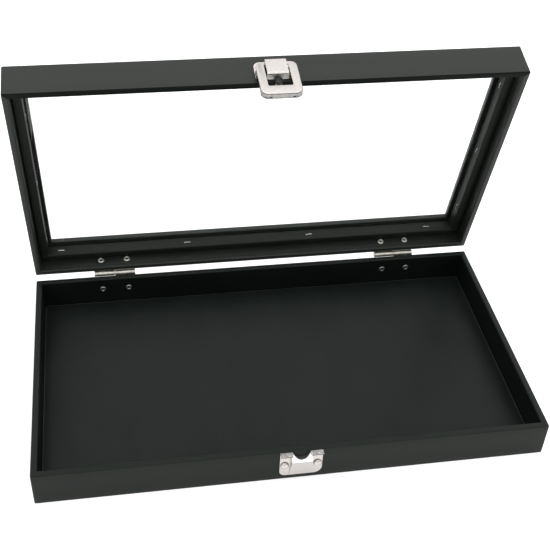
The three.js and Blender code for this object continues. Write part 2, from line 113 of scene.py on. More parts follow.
class Nodes:
    """A material's node tree being wired. Scales are in features for each metre."""

    def __init__(self, name):
        self.material = bpy.data.materials.new(name)
        self.material.use_nodes = True
        self.tree = self.material.node_tree
        self.tree.nodes.clear()
        self.output = self.add("ShaderNodeOutputMaterial")
        self.shader = self.add("ShaderNodeBsdfPrincipled")
        self.link(self.shader.outputs[0], self.output.inputs["Surface"])
        self.where = self.add("ShaderNodeTexCoord").outputs["Object"]

    def add(self, kind, **settings):
        node = self.tree.nodes.new(kind)
        for key, value in settings.items():
            setattr(node, key, value)
        return node

    def link(self, a, b):
        self.tree.links.new(a, b)

    def put(self, **values):
        for key, value in values.items():
            self.shader.inputs[key.replace("_", " ")].default_value = value

    def noise(self, per_metre, detail=3.0, roughness=0.55, stretch=None):
        node = self.add("ShaderNodeTexNoise")
        node.inputs["Scale"].default_value = per_metre
        node.inputs["Detail"].default_value = detail
        node.inputs["Roughness"].default_value = roughness
        self.link(self.stretched(stretch), node.inputs["Vector"])
        return node.outputs["Fac"]

    def cells(self, per_metre):
        node = self.add("ShaderNodeTexVoronoi")
        node.inputs["Scale"].default_value = per_metre
        self.link(self.where, node.inputs["Vector"])
        return node.outputs["Distance"]

    def stretched(self, stretch):
        if stretch is None:
            return self.where
        node = self.add("ShaderNodeMapping")
        node.inputs["Scale"].default_value = stretch
        self.link(self.where, node.inputs["Vector"])
        return node.outputs["Vector"]

    def spread(self, value, low, high, out_low=0.0, out_high=1.0):
        """The value's stretch from low to high, laid over out_low to out_high."""
        node = self.add("ShaderNodeMapRange")
        ends = {"From Min": low, "From Max": high, "To Min": out_low, "To Max": out_high}
        for key, number in ends.items():
            node.inputs[key].default_value = number
        self.link(value, node.inputs["Value"])
        return node.outputs["Result"]

    def math(self, operation, a, b):
        node = self.add("ShaderNodeMath", operation=operation)
        for socket, value in zip(node.inputs, (a, b)):
            if isinstance(value, (int, float)):
                socket.default_value = value
            else:
                self.link(value, socket)
        return node.outputs[0]

    def weighed(self, first, first_share, second, second_share):
        """The two values added up, each times its share."""
        return self.math("ADD", self.math("MULTIPLY", first, first_share),
                         self.math("MULTIPLY", second, second_share))

    def mix(self, factor, first, second):
        """Two colours mixed."""
        node = self.add("ShaderNodeMix", data_type="RGBA")
        self.link(factor, node.inputs["Factor"])
        node.inputs[MIX_A].default_value = (*first, 1.0)
        node.inputs[MIX_B].default_value = (*second, 1.0)
        return node.outputs[MIX_RESULT]

    def bump(self, height, distance, strength, under=None):
        """A normal roughened by height, over the normal under it. The distance is in metres."""
        node = self.add("ShaderNodeBump")
        node.inputs["Strength"].default_value = strength
        node.inputs["Distance"].default_value = distance
        self.link(height, node.inputs["Height"])
        if under is not None:
            self.link(under, node.inputs["Normal"])
        return node.outputs["Normal"]

    def colour(self, socket):
        self.link(socket, self.shader.inputs["Base Color"])

    def rough(self, socket):
        self.link(socket, self.shader.inputs["Roughness"])

    def normal(self, socket):
        self.link(socket, self.shader.inputs["Normal"])


def leatherette(name, dark, light, roughness, specular=0.26):
    """Paper-backed leatherette: a pebble grain of about a millimetre, a little cloudy in tone and gloss."""
    n = Nodes(name)
    pebbles = n.cells(1050)
    creases = n.noise(2400, 4.0, 0.65)
    cloud = n.noise(16, 4.0)
    tone = n.spread(n.weighed(cloud, 0.6, creases, 0.4), 0.34, 0.66)
    n.colour(n.mix(tone, dark, light))
    gloss = n.weighed(creases, 0.5, cloud, 0.5)
    n.rough(n.spread(gloss, 0.3, 0.7, roughness - 0.07, roughness + 0.08))
    grain = n.weighed(pebbles, 0.6, creases, 0.5)
    n.normal(n.bump(grain, 0.00012, 0.6, n.bump(cloud, 0.0006, 0.25)))
    n.put(Specular_IOR_Level=specular)
    return n.material


def floor_paper():
    """Smooth black paper over the floor board, with a faint fibre and a slight cockle."""
    n = Nodes("floor_paper")
    fibre = n.noise(3200, 3.0, 0.6)
    cockle = n.noise(14, 2.0, 0.45)
    smear = n.noise(45, 4.0, 0.6, (1.0, 0.35, 1.0))
    n.colour(n.mix(n.spread(smear, 0.35, 0.65), (0.0052, 0.0074, 0.0062), (0.0078, 0.0102, 0.0086)))
    n.rough(n.spread(n.weighed(smear, 0.7, fibre, 0.3), 0.3, 0.7, 0.38, 0.47))
    n.normal(n.bump(fibre, 0.00003, 0.5, n.bump(cockle, 0.0010, 0.16)))
    n.put(Specular_IOR_Level=0.145)
    return n.material


def raw_board():
    """Bare brown board with a long fibre."""
    n = Nodes("raw_board")
    fibre = n.noise(900, 5.0, 0.7, (1.0, 0.3, 1.0))
    n.colour(n.mix(n.spread(fibre, 0.3, 0.7), (0.022, 0.017, 0.012), (0.045, 0.034, 0.024)))
    n.rough(n.spread(fibre, 0.3, 0.7, 0.7, 0.9))
    n.normal(n.bump(fibre, 0.0001, 0.6))
    return n.material


def plated(name, dark, light, rough_low, rough_high, ripple=0.35, pits=0.0):
    """Plating over pressed steel: ripple from the press, fine rubbed scratches and, if asked, pits."""
    n = Nodes(name)
    haze = n.noise(420, 4.0, 0.6)
    press = n.noise(230, 2.0, 0.5)
    rubbed = n.noise(2600, 3.0, 0.6, (0.12, 1.0, 1.0))
    n.colour(n.mix(n.spread(haze, 0.35, 0.65), dark, light))
    n.rough(n.spread(n.weighed(haze, 0.5, rubbed, 0.5), 0.35, 0.65, rough_low, rough_high))
    normal = n.bump(press, 0.0004, ripple, n.bump(rubbed, 0.00002, 0.35))
    if pits:
        normal = n.bump(n.noise(2200, 4.0, 0.75), 0.00022, pits, normal)
    n.normal(normal)
    n.put(Metallic=1.0)
    return n.material


def clear_glass():
    """Float glass with a trace of green, its gloss a little uneven where it has been wiped."""
    n = Nodes("clear_glass")
    wipe = n.noise(22, 4.0, 0.6, (1.0, 3.0, 1.0))
    n.rough(n.spread(wipe, 0.45, 0.75, 0.0, 0.012))
    n.put(Base_Color=(0.972, 0.988, 0.982, 1.0), Transmission_Weight=1.0, IOR=1.45)
    return n.material


LEATHER = leatherette("leatherette", (0.0048, 0.0076, 0.0054), (0.0088, 0.0116, 0.0092), 0.47, 0.155)
LEATHER_LID = leatherette("leatherette_lid", (0.0088, 0.0118, 0.0092), (0.0142, 0.0176, 0.0144), 0.45, 0.30)
# A darker copy of the leatherette for the tray's inner faces: painted shade inside the box.
TRAY_INNER_PAINTED_SHADE = leatherette("tray_inner_painted_shade", (0.0015, 0.0028, 0.0023), (0.0032, 0.0048, 0.0042), 0.55, 0.12)
# A darker copy of the lid's leatherette for its inner faces: painted shade inside the lid.
LID_INNER_PAINTED_SHADE = leatherette("lid_inner_painted_shade", (0.0062, 0.0086, 0.0066), (0.0108, 0.0134, 0.0110), 0.50, 0.18)
# A darker leatherette for the strips inside the lid: painted shade.
COVERED_STRIP_PAINTED_SHADE = leatherette("covered_strip_painted_shade", (0.0044, 0.0068, 0.0046), (0.0084, 0.0112, 0.0086), 0.5, 0.18)
# A darker, less glossy copy of the lid's leatherette: painted shade on the lid's front rim face.
LID_FRONT_RIM_PAINTED_SHADE = leatherette("lid_front_rim_painted_shade", (0.0030, 0.0044, 0.0034), (0.0058, 0.0076, 0.0062), 0.5, 0.06)
UNDERSIDE = leatherette("underside_paper", (0.0080, 0.0082, 0.0080), (0.0120, 0.0124, 0.0120), 0.62)
FLOOR_PAPER = floor_paper()
FLOOR_EDGE = leatherette("floor_edge", (0.020, 0.023, 0.021), (0.060, 0.064, 0.060), 0.45, 0.5)
RAW_BOARD = raw_board()
NICKEL = plated("nickel", (0.520, 0.492, 0.472), (0.555, 0.528, 0.508), 0.12, 0.20, 0.03)
# A lighter copy of the nickel: a painted highlight on the keeper's upward faces.
NICKEL_PAINTED_HIGHLIGHT = plated("nickel_painted_highlight", (0.86, 0.84, 0.82), (0.92, 0.90, 0.885), 0.10, 0.18, 0.03)
# A sandy, pitted copy of the nickel, its darker colour painted shade under the tongue.
NICKEL_SANDY_PAINTED_SHADE = plated("nickel_sandy_painted_shade", (0.30, 0.295, 0.285), (0.48, 0.47, 0.455), 0.38, 0.55, 0.2, 0.9)
NICKEL_SHADED = plated("nickel_shaded", (0.24, 0.23, 0.225), (0.36, 0.35, 0.34), 0.2, 0.34, 0.2)
# A near-black copy of the nickel: painted shade and painted dark reflection along folds and under ledges.
PAINTED_SHADE_LINE = plated("painted_shade_line", (0.035, 0.032, 0.030), (0.085, 0.080, 0.076), 0.25, 0.40)
STEEL = plated("hinge_steel", (0.40, 0.39, 0.35), (0.60, 0.58, 0.53), 0.26, 0.42)
DULL_STEEL = plated("dull_steel", (0.20, 0.20, 0.18), (0.42, 0.41, 0.38), 0.28, 0.45)
SPRING_STEEL = plated("spring_steel", (0.28, 0.29, 0.30), (0.42, 0.43, 0.44), 0.25, 0.4)
# A near-black nickel: the stop's own dark colour, and painted shade inside the tongue's seam and the ring's
# slots.
DARK_NICKEL_AND_PAINTED_SHADE = plated("dark_nickel_and_painted_shade", (0.018, 0.017, 0.017), (0.045, 0.043, 0.041), 0.2, 0.36)
WIRE = plated("staple_wire", (0.42, 0.43, 0.44), (0.62, 0.63, 0.64), 0.25, 0.4)
GLASS = clear_glass()


# ---- Mesh building ----

WELD, BOOLEAN_WELD = 1e-7, 2e-6  # metres within which vertices are joined
ORDERS = {
    "xz": lambda a, b, c: (a, c, b),
    "yz": lambda a, b, c: (c, a, b),
    "xy": lambda a, b, c: (a, b, c),
}


def fillet(corners, segments=5):
    """A closed outline from corners (a, b, radius), each corner turned into an arc."""
    outline = []
    count = len(corners)
    for i, (a, b, radius) in enumerate(corners):
        here = Vector((a, b))
        back = Vector(corners[i - 1][:2]) - here
        ahead = Vector(corners[(i + 1) % count][:2]) - here
        reach_most = 0.49 * min(back.length, ahead.length)
        back.normalize()
        ahead.normalize()
        half = back.angle(ahead) / 2
        reach = min(radius / math.tan(half), reach_most)
        radius = reach * math.tan(half)
        centre = here + (back + ahead).normalized() * (radius / math.sin(half))
        start = here + back * reach - centre
        end = here + ahead * reach - centre
        sweep = start.angle_signed(end)
        for k in range(segments + 1):
            c, s = math.cos(-sweep * k / segments), math.sin(-sweep * k / segments)
            outline.append(centre + Vector((start.x * c - start.y * s, start.x * s + start.y * c)))
    return outline


def resample(outline, longest):
    """The same closed outline with its long runs divided."""
    points = []
    for i, here in enumerate(outline):
        ahead = outline[(i + 1) % len(outline)]
        parts = max(1, math.ceil((ahead - here).length / longest))
        points.extend(here.lerp(ahead, k / parts) for k in range(parts))
    return points


def loft(rings, around=True, along=False, caps=False):
    """Vertices and faces of a skin over rings of points of one length."""
    size = len(rings[0])
    vertices = [p for ring in rings for p in ring]
    faces = []
    for i in range(len(rings) if along else len(rings) - 1):
        j = (i + 1) % len(rings)
        for k in range(size if around else size - 1):
            m = (k + 1) % size
            faces.append((i * size + k, i * size + m, j * size + m, j * size + k))
    if caps:
        faces.append(tuple(reversed(range(size))))
        faces.append(tuple(range((len(rings) - 1) * size, len(rings) * size)))
    return vertices, faces


def mesh_of(name, parts, place=CASE):
    """One mesh from (vertices, faces) parts in millimetres, moved by place, its faces turned outwards."""
    build = bmesh.new()
    for vertices, faces in parts:
        made = [build.verts.new(place @ Vector(v) * MM) for v in vertices]
        for face in faces:
            build.faces.new([made[i] for i in face])
    bmesh.ops.remove_doubles(build, verts=build.verts, dist=WELD)
    bmesh.ops.recalc_face_normals(build, faces=build.faces)
    mesh = bpy.data.meshes.new(name)
    build.to_mesh(mesh)
    build.free()
    return mesh


def piece(name, mesh, material, body, nodes, smooth=40, extra=()):
    """An object of the case: its material, the body it rides on and the nodes it stands for."""
    obj = bpy.data.objects.new(name, mesh)
    bpy.context.scene.collection.objects.link(obj)
    mesh.materials.clear()
    for one in (material, *extra):
        mesh.materials.append(one)
    mesh.shade_smooth()
    mesh.set_sharp_from_angle(angle=math.radians(smooth))
    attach(obj, body)
    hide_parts(*nodes)
    return obj


def paint(obj, place, *rules):
    """Gives faces their extra materials. A rule is a material and a test of a face's centre and normal.

    The centre is in millimetres in place's own axes, and the first rule that holds counts.
    """
    back = place.inverted()
    for face in obj.data.polygons:
        centre = back @ (face.center / MM)
        for material, holds in rules:
            if holds(centre, face.normal):
                face.material_index = obj.data.materials.find(material.name)
                break


def bevel(obj, width, segments, angle):
    """Rounds the edges sharper than angle degrees."""
    modifier = obj.modifiers.new("edges", "BEVEL")
    modifier.width = width * MM
    modifier.segments = segments
    modifier.limit_method = "ANGLE"
    modifier.angle_limit = math.radians(angle)
    modifier.harden_normals = True


def combine(name, first, steps, place):
    """first, with each (operation, mesh) of steps applied in turn, then moved by place."""
    scene = bpy.context.scene
    objects = [bpy.data.objects.new(name, first)]
    scene.collection.objects.link(objects[0])
    for operation, tool in steps:
        cutter = bpy.data.objects.new(name + "_tool", tool)
        scene.collection.objects.link(cutter)
        modifier = objects[0].modifiers.new(operation, "BOOLEAN")
        modifier.operation = operation
        modifier.solver = "EXACT"
        modifier.object = cutter
        objects.append(cutter)
    graph = bpy.context.evaluated_depsgraph_get()
    mesh = bpy.data.meshes.new_from_object(objects[0].evaluated_get(graph))
    for obj in objects:
        bpy.data.objects.remove(obj)
    build = bmesh.new()
    build.from_mesh(mesh)
    bmesh.ops.remove_doubles(build, verts=build.verts, dist=BOOLEAN_WELD)
    bmesh.ops.dissolve_limit(build, angle_limit=math.radians(1), verts=build.verts, edges=build.edges)
    for vertex in build.verts:
        vertex.co = place @ (vertex.co / MM) * MM
    bmesh.ops.recalc_face_normals(build, faces=build.faces)
    build.to_mesh(mesh)
    build.free()
    mesh.name = name
    return mesh


def prism(outline, low, high, axes="xz"):
    """A closed solid from an outline in two axes, between two places on the third."""
    order = ORDERS[axes]
    return loft([[order(p[0], p[1], c) for p in outline] for c in (low, high)], caps=True)


def box(x0, x1, y0, y1, z0, z1):
    return prism([(x0, y0), (x1, y0), (x1, y1), (x0, y1)], z0, z1, "xy")


def ellipse(a, b, half_a, half_b, steps):
    """A closed round outline about (a, b)."""
    turns = [2 * math.pi * i / steps for i in range(steps)]
    return [(a + half_a * math.cos(turn), b + half_b * math.sin(turn)) for turn in turns]


def plain(name, part):
    """A mesh of one part in its own axes, for combine."""
    return mesh_of(name, [part])


def lathe(profile, segments):
    """Turned about Y: profile is radii and places along Y, starting and ending on the axis."""
    rings = []
    for i in range(segments):
        angle = 2 * math.pi * i / segments
        rings.append([(r * math.cos(angle), y, r * math.sin(angle)) for r, y in profile])
    return loft(rings, around=False, along=True)


def uneven(x, y, z, size, seed):
    """Smooth noise from 0 to 1 that changes over about size millimetres."""
    return 0.5 + 0.5 * noise.noise(Vector((x / size, y / size, z / size + seed * 7.3)))


# ---- Frames: the tray's wall and the lid's frame ----

CORNER, LEAST_CORNER = 1.3, 0.35
CORNER_STEPS = 6
CORNER_BLEND = 20  # the length before a corner over which the covering's pull turns
FRAME_STEP, SECTION_STEP = 5, 7
FRAME_WANDER, FRAME_BROAD, FRAME_FINE = 0.10, 34, 9
INNER_SHADE_EDGE = 1.0  # the painted shade of the inner faces starts this far from a frame's rim
# How far up from the lid's rim the front rim's painted shade reaches.
RIM_SHADE_BAND = 0.7


def rectangle_loop(inset, z, step):
    """Points round the case at one inset and height, with small round corners."""
    radius = max(CORNER - inset, LEAST_CORNER)
    x, y = HALF_X - inset - radius, HALF_Y - inset - radius
    centres = [(x, -y, -90), (x, y, 0), (-x, y, 90), (-x, -y, 180)]
    lengths = [2 * HALF_Y, 2 * HALF_X, 2 * HALF_Y, 2 * HALF_X]
    points = []
    for i, (cx, cy, first) in enumerate(centres):
        for k in range(CORNER_STEPS + 1):
            angle = math.radians(first + 90 * k / CORNER_STEPS)
            points.append(Vector((cx + radius * math.cos(angle), cy + radius * math.sin(angle), z)))
        nx, ny, start = centres[(i + 1) % 4]
        angle = math.radians(start)
        ahead = Vector((nx + radius * math.cos(angle), ny + radius * math.sin(angle), z))
        here = points[-1].copy()
        parts = round(lengths[i] / step)
        points.extend(here.lerp(ahead, k / parts) for k in range(1, parts))
    return points


def wrapped_frame(outline, seed):
    """A hollow frame of the given section, its covering a little uneven, always towards the board."""
    loops = []
    for inset, z in outline:
        loop = []
        for flat in rectangle_loop(inset, z, FRAME_STEP):
            x, y = flat.x, flat.y
            pull = FRAME_WANDER * (uneven(x, y, z, FRAME_BROAD, seed)
                                   + 0.5 * uneven(x, y, z, FRAME_FINE, seed + 3))
            outward = Vector((max(abs(x) - HALF_X + CORNER_BLEND, 0) * math.copysign(1, x),
                              max(abs(y) - HALF_Y + CORNER_BLEND, 0) * math.copysign(1, y), 0)).normalized()
            side = -1 if inset < WALL / 2 else 0.6
            loop.append(flat + outward * pull * side)
        loops.append(loop)
    return loft(loops, along=True)


def inset_of(point):
    """How far a point lies in from the nearest outer face of the case."""
    return min(HALF_X - abs(point.x), HALF_Y - abs(point.y))


def on_inner_wall(point):
    """Whether a point lies on the inner face of a wall and below the lid's lip."""
    return inset_of(point) > WALL - 0.6 and point.z < LIP_BOTTOM + 0.1


tray_section = resample(fillet([
    (0, 0.9, 0.8),
    (WALL, 0.9, 0.3),
    (WALL, BASE_TOP, 1.0),
    (0, BASE_TOP, 1.1),
]), SECTION_STEP)
tray = piece("tray_wall", mesh_of("tray_wall", [wrapped_frame(tray_section, 1)]), LEATHER, "base",
             [f"base_{side}_wall" for side in WALL_SIDES], extra=[TRAY_INNER_PAINTED_SHADE])
# The tray's inner wall faces below the rim take the painted shade.
paint(tray, CASE, (TRAY_INNER_PAINTED_SHADE, lambda c, normal: on_inner_wall(c) and c.z < BASE_TOP - INNER_SHADE_EDGE))

lid_section = resample(fillet([
    (0, LID_RIM, 1.0),
    (WALL, LID_RIM, 1.0),
    (WALL, LIP_BOTTOM, 0.25),
    (LIP_WIDTH, LIP_BOTTOM, 0.6),
    (LIP_WIDTH, LID_TOP, 1.0),
    (0, LID_TOP, 1.2),
]), SECTION_STEP)
lid_nodes = [f"lid_{side}_wall" for side in WALL_SIDES] + [f"lid_top_rail_{side}" for side in WALL_SIDES]
lid = piece("lid_frame", mesh_of("lid_frame", [wrapped_frame(lid_section, 2)], LID), LEATHER_LID, "lid",
            lid_nodes, extra=[LID_INNER_PAINTED_SHADE, LID_FRONT_RIM_PAINTED_SHADE])
paint(lid, LID,
      # the front rim face: painted shade
      (LID_FRONT_RIM_PAINTED_SHADE, lambda c, normal: c.z < LID_RIM + RIM_SHADE_BAND and c.y < FRONT + WALL),
      # the inner faces: painted shade
      (LID_INNER_PAINTED_SHADE, lambda c, normal: on_inner_wall(c) and c.z > LID_RIM + INNER_SHADE_EDGE))


# ---- Floor ----

FLOOR_RADIUS = 1.0
FLOOR_STEP = 7
FLOOR_WANDER, FLOOR_BROAD, FLOOR_FINE = 0.14, 55, 21
FLOOR_EDGE_BAND = 0.9


def edge_places(half, radius, step):
    """Grid lines from -half to half, close together over the rounded edges."""
    near = [half - radius * (1 - math.cos(math.radians(a))) for a in (0, 22.5, 45, 67.5, 90)]
    inner = half - radius
    parts = round(2 * inner / step)
    middle = [-inner + 2 * inner * k / parts for k in range(1, parts)]
    return [-v for v in near] + middle + near[::-1]


def slab(half_x, half_y, bottom, top, seed):
    """A covered board: rounded upper edges and a top that isn't quite flat."""
    radius = FLOOR_RADIUS
    xs, ys = edge_places(half_x, radius, FLOOR_STEP), edge_places(half_y, radius, FLOOR_STEP)

    def drop(value, half):
        over = max(0.0, abs(value) - (half - radius))
        return radius - math.sqrt(max(0.0, radius * radius - over * over))

    upper, lower = [], []
    for x in xs:
        for y in ys:
            fall = min(radius, drop(x, half_x) + drop(y, half_y))
            wave = uneven(x, y, 0, FLOOR_BROAD, seed) + 0.4 * uneven(x, y, 0, FLOOR_FINE, seed + 5)
            dip = FLOOR_WANDER * wave
            upper.append((x, y, top - fall - dip * (1 - fall / radius)))
            lower.append((x, y, bottom))
    rows, columns = len(xs), len(ys)
    offset = rows * columns
    faces = []
    for i in range(rows - 1):
        for j in range(columns - 1):
            a = i * columns + j
            quad = (a, a + columns, a + columns + 1, a + 1)
            faces.append(quad)
            faces.append(tuple(v + offset for v in reversed(quad)))
    rim = [i * columns for i in range(rows)]
    rim += [(rows - 1) * columns + j for j in range(1, columns)]
    rim += [i * columns + columns - 1 for i in range(rows - 2, -1, -1)]
    rim += [j for j in range(columns - 2, 0, -1)]
    for k, a in enumerate(rim):
        b = rim[(k + 1) % len(rim)]
        faces.append((b, a, a + offset, b + offset))
    return upper + lower, faces


floor_slab = slab(HALF_X - WALL - FLOOR_GAP, HALF_Y - WALL - FLOOR_GAP, FLOOR_BOTTOM, FLOOR_TOP, 4)
floor_lining = piece("floor_lining", mesh_of("floor_lining", [floor_slab]), FLOOR_PAPER, "base",
                     ["base_floor_lining"], extra=[FLOOR_EDGE])
paint(floor_lining, CASE,
      (FLOOR_EDGE, lambda c, normal: inset_of(c) - WALL - FLOOR_GAP < FLOOR_EDGE_BAND and normal.z > 0.1))


# ---- Strips and staples in the lid ----

STRIP_STEP, STRIP_SECTION_STEP = 1.4, 1.8
STRIP_END_SQUEEZE = 0.975
STRIP_WANDER, STRIP_BROAD, STRIP_FINE = 0.10, 30, 7
DENT_DEPTH, DENT_LONG, DENT_HIGH = 0.30, 3.6, 1.6
WIRE_HALF_WIDE, WIRE_HALF_THICK, WIRE_EDGE = 0.33, 0.26, 0.15


def strip_mesh(half_length, staples, seed):
    """A covered strip along X, its face at Y = 0, drawn in a little round each staple."""
    section = resample(fillet([
        (0, STRIP_BOTTOM, 0.9),
        (STRIP_THICKNESS, STRIP_BOTTOM, 0.9),
        (STRIP_THICKNESS, STRIP_TOP, 0.4),
        (0, STRIP_TOP, 0.7),
    ], 4), STRIP_SECTION_STEP)
    middle = (STRIP_TOP + STRIP_BOTTOM) / 2
    slices = round(half_length / STRIP_STEP)
    rings = []
    for i in range(slices + 1):
        x = -half_length + 2 * half_length * i / slices
        squeeze = STRIP_END_SQUEEZE if i in (0, slices) else 1.0
        ring = []
        for y, z in section:
            wave = uneven(x, y, z, STRIP_BROAD, seed) + 0.5 * uneven(x, y, z, STRIP_FINE, seed + 2)
            dip = STRIP_WANDER * wave
            for staple in staples:
                away = ((x - staple) / DENT_LONG) ** 2 + ((z - STAPLE_Z) / DENT_HIGH) ** 2
                dip += DENT_DEPTH * math.exp(-away) if y < 0.5 else 0.0
            inward = 1 if y < STRIP_THICKNESS / 2 else -1
            ring.append((x, y + dip * inward, middle + (z - middle) * squeeze))
        rings.append(ring)
    return loft(rings, caps=True)


def bent_wire(path):
    """A flattened wire along a path in X and Y, its ends closed."""
    thick, wide = WIRE_HALF_THICK, WIRE_HALF_WIDE
    corners = [(-thick, -wide), (thick, -wide), (thick, wide), (-thick, wide)]
    section = fillet([(a, b, WIRE_EDGE) for a, b in corners], 2)
    rings = []
    for i, here in enumerate(path):
        before, after = path[max(i - 1, 0)], path[min(i + 1, len(path) - 1)]
        ahead = (after - before).normalized()
        side = Vector((-ahead.y, ahead.x))
        rings.append([(here.x + side.x * a, here.y + side.y * a, b) for a, b in section])
    return loft(rings, caps=True)


def staple_path(leg=4.5, half=2.6, bend=0.75, crown=-0.05):
    """From one leg's tip over the slightly bowed crown to the other's."""
    arc = []
    for degrees in (0, 22, 45, 68, 90):
        a = math.radians(degrees)
        arc.append(Vector((half - bend + bend * math.sin(a), crown + bend - bend * math.cos(a))))
    middle = [Vector((x, crown - 0.06 * math.cos(x))) for x in (-1.2, -0.6, 0, 0.6, 1.2)]
    right = arc + [Vector((half, leg))]
    left = [Vector((-p.x, p.y)) for p in reversed(right)]
    return left + middle + right


STRIPS = [
    ("front", 180, STRIP_FACE_Y, LONG_STRIP_HALF, [-x for x in reversed(LONG_STAPLES)]),
    ("back", 0, STRIP_FACE_Y, LONG_STRIP_HALF, LONG_STAPLES),
    ("right", -90, STRIP_FACE_X, SHORT_STRIP_HALF, SHORT_STAPLES),
    ("left", 90, STRIP_FACE_X, SHORT_STRIP_HALF, SHORT_STAPLES),
]
for index, (side, turn, face_at, half_length, staples) in enumerate(STRIPS):
    place = LID @ turn_z(turn) @ shift(0, face_at, 0)
    mesh = mesh_of(f"strip_{side}", [strip_mesh(half_length, staples, index + 11)], place)
    # The strips' darker colour is painted shade.
    piece(f"strip_{side}", mesh, COVERED_STRIP_PAINTED_SHADE, "lid", [f"glass_strip_{side}"])
    for k, along in enumerate(staples):
        tilt = Matrix.Rotation(math.radians(random.uniform(-7, 7)), 4, "Y")
        sunk = random.uniform(-0.13, 0.01)
        wire = mesh_of(f"wire_{side}_{k + 1}", [bent_wire(staple_path())],
                       place @ shift(along, sunk, STAPLE_Z) @ tilt)
        piece(f"wire_{side}_{k + 1}", wire, WIRE, "lid", [f"staple_{side}_{k + 1}"],
              smooth=50)


# ---- Rivets ----

RIVET_TAIL, RIVET_BORE, RIVET_SHANK = 2.7, 1.05, 1.5
RIVET_SLACK, RIVET_ROLL = 0.6, 0.6


def rivet_profile(head, dome, sheet):
    """Head, shank and rolled tail. Y = 0 is the head's seat and the head looks towards +Y."""
    grip = WALL + sheet + RIVET_SLACK
    profile = [(0, -grip * 0.5), (RIVET_BORE * 0.9, -grip * 0.5), (RIVET_BORE, -grip - 0.1)]
    middle, half = (RIVET_BORE + RIVET_TAIL) / 2, (RIVET_TAIL - RIVET_BORE) / 2
    for angle in range(0, 181, 30):
        a = math.radians(angle)
        profile.append((middle - half * math.cos(a), -grip - 0.1 - RIVET_ROLL * math.sin(a)))
    profile += [(RIVET_TAIL, -grip + 0.1), (RIVET_SHANK, -grip + 0.15), (RIVET_SHANK, -0.02)]
    profile += [(head - 0.12, -0.02), (head, 0.06)]
    for angle in range(8, 90, 10):
        a = math.radians(angle)
        profile.append((head * math.cos(a), dome * math.sin(a)))
    profile.append((0, dome))
    return profile


HINGE_RIVET = rivet_profile(2.5, 1.0, HINGE_SHEET)
LATCH_RIVET = rivet_profile(2.6, 1.2, LATCH_SHEET)
KEEPER_RIVET = rivet_profile(3.1, 1.85, LATCH_SHEET)


def rivet(name, profile, x, z, seat, group, body, node, material=NICKEL):
    """A rivet at (x, z) of a group, seated at Y = seat and looking away from the case."""
    face = turn_x(180) if seat < 0 else CASE
    mesh = mesh_of(name, [lathe(profile, segments=28)], group @ shift(x, seat, z) @ face)
    piece(name, mesh, material, body, [node], smooth=50)


HINGE_SIDES = [("base", CASE, BASE_RIVET_Z, DULL_STEEL), ("lid", LID, LID_RIVET_Z, STEEL)]
for hand, sign in HANDS.items():
    for end, outward in (("outer", 1), ("inner", -1)):
        x = sign * (HINGE_X + outward * HINGE_RIVET_OFFSET)
        for body, group, z, steel in HINGE_SIDES:
            rivet(f"rivet_{hand}_{body}_{end}", HINGE_RIVET, x, z, HINGE_RIVET_SEAT, group, body,
                  f"hinge_{hand}_{body}_rivet_{end}", steel)
for hand, sign in HANDS.items():
    x = LATCH_X + sign * LATCH_RIVET_OFFSET
    rivet(f"rivet_keeper_{hand}", KEEPER_RIVET, x, KEEPER_RIVET_Z, LATCH_RIVET_SEAT, CASE, "base",
          f"keeper_rivet_{hand}")
    rivet(f"rivet_latch_{hand}", LATCH_RIVET, x, LID_RIVET_Z, LATCH_RIVET_SEAT, LID, "lid",
          f"latch_plate_rivet_{hand}")


# ---- Hinges ----

BASE_LEAF, LID_LEAF = 15.0, 12.2
LEAF_HALF, LEAF_CORNER = 17.0, 2.6
LEAF_FLAT_Y, LEAF_FLAT_TOP = -2.3, -3.4
FLAT_ROWS, NECK_ROWS = 7, 5
EYE_RADIUS, EYE_CURL, EYE_STEPS = 1.95, 290, 18


def thicken(front, back, present):
    """A closed sheet from two grids of points, where present(i, j) says which cells are there."""
    rows, columns = len(front), len(front[0])
    vertices = [p for row in front for p in row] + [p for row in back for p in row]
    offset = rows * columns
    faces, edges = [], {}
    for i in range(rows - 1):
        for j in range(columns - 1):
            if not present(i, j):
                continue
            a = i * columns + j
            quad = (a, a + columns, a + columns + 1, a + 1)
            faces.append(quad)
            faces.append(tuple(v + offset for v in reversed(quad)))
            for k in range(4):
                p, q = quad[k], quad[(k + 1) % 4]
                if (q, p) in edges:
                    del edges[(q, p)]
                else:
                    edges[(p, q)] = True
    faces.extend((q, p, p + offset, q + offset) for p, q in edges)
    used = {v for face in faces for v in face}
    index = {v: k for k, v in enumerate(sorted(used))}
    return [vertices[v] for v in sorted(used)], [tuple(index[v] for v in face) for face in faces]


